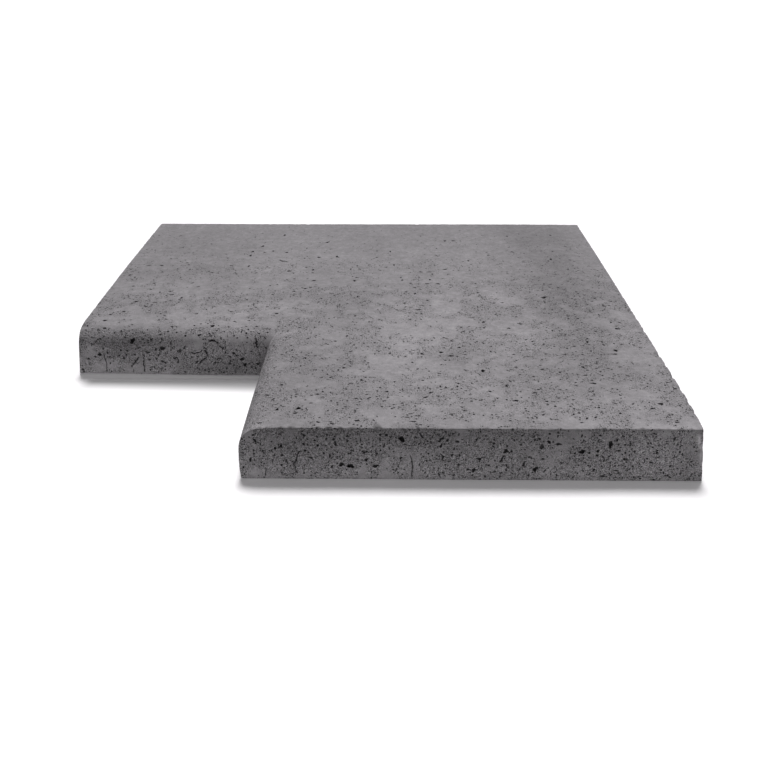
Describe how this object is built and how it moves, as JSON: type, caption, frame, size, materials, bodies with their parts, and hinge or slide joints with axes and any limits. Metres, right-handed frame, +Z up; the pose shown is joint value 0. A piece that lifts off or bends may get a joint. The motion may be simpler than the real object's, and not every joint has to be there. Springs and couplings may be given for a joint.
{
  "type": "pool coping corner stone",
  "caption": "L-shaped cast concrete coping that turns a pool's corner, with a rounded nosing along both edges that face the water.",
  "frame": {"origin": "on the underside, below the centre of the outer square", "axes": "+Z up out of the walking surface, +X to the right and +Y to the back; the pool's corner stands at -X, -Y"},
  "size_m": [0.5, 0.5, 0.04],
  "materials": {
    "cast_concrete": "matte, finely pitted"
  },
  "bodies": {
    "root": {"coping_corner_stone": "cast_concrete"}
  },
  "joints": []
}
